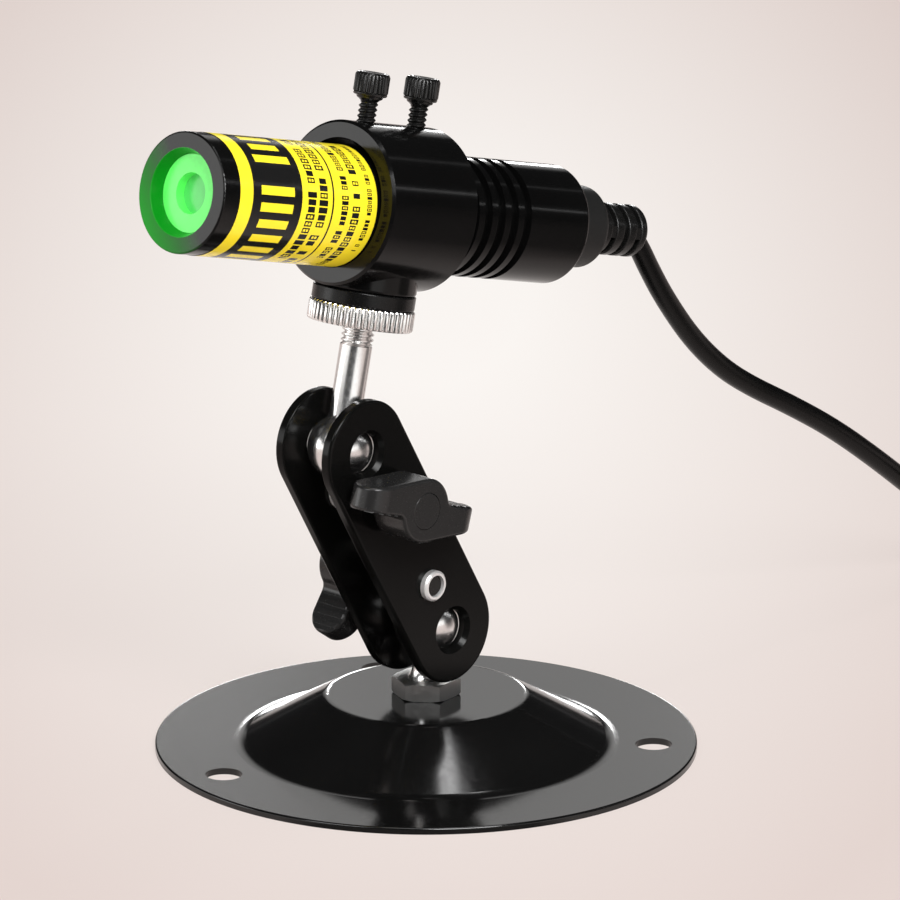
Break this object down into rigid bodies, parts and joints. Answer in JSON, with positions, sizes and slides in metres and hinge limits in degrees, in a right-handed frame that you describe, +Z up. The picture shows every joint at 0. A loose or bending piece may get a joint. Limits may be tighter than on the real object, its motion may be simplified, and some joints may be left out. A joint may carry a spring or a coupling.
{
  "type": "laser diode module",
  "caption": "Cylindrical laser diode head with a yellow wrap label, held by thumb screws in a ring on a double ball arm with wing knobs over a pressed round foot, with a power cord.",
  "frame": {"origin": "centre of the round foot, on the plane that it rests on", "axes": "+Z up out of the foot; the arm leans and tilts in the YZ plane; the beam leaves towards -Y; the arm's two plates face +X and -X"},
  "size_m": [0.1505, 0.2693, 0.1311],
  "materials": {
    "gloss_black_paint": "gloss",
    "zinc_steel": "bright zinc plate",
    "polished_steel": "polished",
    "dark_steel": "black oxide",
    "black_nylon": "satin moulded nylon",
    "black_pad": "satin",
    "black_anodised": "gloss black anodised",
    "yellow_label": "laminated wrap",
    "green_plastic": "satin",
    "green_glass": "polished",
    "brass": "turned",
    "board_green": "solder mask",
    "dark_plastic": "satin",
    "black_rubber": "smooth flexible cord cover"
  },
  "bodies": {
    "base": {"foot_plate": "gloss_black_paint"},
    "lower_stud": {"lower_ball_stud": "polished_steel", "hex_lock_nut": "zinc_steel", "base_washer": "zinc_steel", "base_nut": "zinc_steel"},
    "arm": {"front_arm_plate": "gloss_black_paint", "back_arm_plate": "gloss_black_paint", "upper_insert": "zinc_steel", "lower_insert": "zinc_steel"},
    "upper_knob": {"upper_wing_knob": "black_nylon", "upper_knob_cap": "black_nylon", "upper_clamp_screw": "dark_steel"},
    "lower_knob": {"lower_wing_knob": "black_nylon", "lower_knob_cap": "black_nylon", "lower_clamp_screw": "dark_steel"},
    "upper_stud": {"upper_ball_stud": "polished_steel"},
    "lock_nut": {"knurled_nut": "zinc_steel"},
    "holder": {"holder_ring": "black_anodised", "pad_washer": "black_pad"},
    "thumb_front": {"thumb_screw_front": "dark_steel"},
    "thumb_rear": {"thumb_screw_rear": "dark_steel"},
    "module": {"front_barrel": "black_anodised", "rear_housing": "black_anodised", "label_wrap": "yellow_label", "aperture_ring": "green_plastic", "lens": "green_glass", "lens_cell": "brass", "diode_slug": "brass", "laser_diode": "zinc_steel", "driver_board": "board_green", "board_capacitor": "dark_plastic", "board_chip": "dark_plastic", "board_trimmer": "dark_plastic", "tail_collar": "dark_plastic", "strain_relief": "black_rubber", "cord_lead": "black_rubber", "cord_coil": "black_rubber", "cord_end": "black_rubber", "plug_body": "black_rubber", "plug_sleeve": "polished_steel", "plug_insulator": "dark_plastic"}
  },
  "joints": [
    {"name": "base_swivel", "type": "hinge", "parent": "base", "child": "lower_stud", "pos_m": [0, 0, 0], "axis": [0, 0, 1], "range_deg": [-180, 180]},
    {"name": "lower_ball_tilt", "type": "hinge", "parent": "lower_stud", "child": "arm", "pos_m": [0, 0, 0.02385], "axis": [1, 0, 0], "range_deg": [-25, 30]},
    {"name": "upper_ball_tilt", "type": "hinge", "parent": "arm", "child": "upper_stud", "pos_m": [0, -0.02258, 0.06268], "axis": [1, 0, 0], "range_deg": [-20, 45]},
    {"name": "lock_nut_turn", "type": "hinge", "parent": "upper_stud", "child": "lock_nut", "pos_m": [0, -0.02258, 0.06268], "axis": [-0.0297, 0.257, 0.966], "range_deg": [0, 360]},
    {"name": "holder_swivel", "type": "hinge", "parent": "upper_stud", "child": "holder", "pos_m": [0, -0.02258, 0.06268], "axis": [-0.0297, 0.257, 0.966], "range_deg": [-90, 90]},
    {"name": "front_thumb_screw_lift", "type": "slide", "parent": "holder", "child": "thumb_front", "axis": [-0.0297, 0.257, 0.966], "range_m": [0, 0.006]},
    {"name": "rear_thumb_screw_lift", "type": "slide", "parent": "holder", "child": "thumb_rear", "axis": [-0.0297, 0.257, 0.966], "range_m": [0, 0.006]},
    {"name": "module_slide", "type": "slide", "parent": "holder", "child": "module", "axis": [0.0503, 0.9655, -0.2554], "range_m": [-0.015, 0.012]},
    {"name": "upper_knob_turn", "type": "hinge", "parent": "arm", "child": "upper_knob", "pos_m": [0, -0.0167, 0.05257], "axis": [1, 0, 0], "range_deg": [0, 360]},
    {"name": "lower_knob_turn", "type": "hinge", "parent": "arm", "child": "lower_knob", "pos_m": [0, -0.00588, 0.03396], "axis": [-1, 0, 0], "range_deg": [0, 360]}
  ]
}
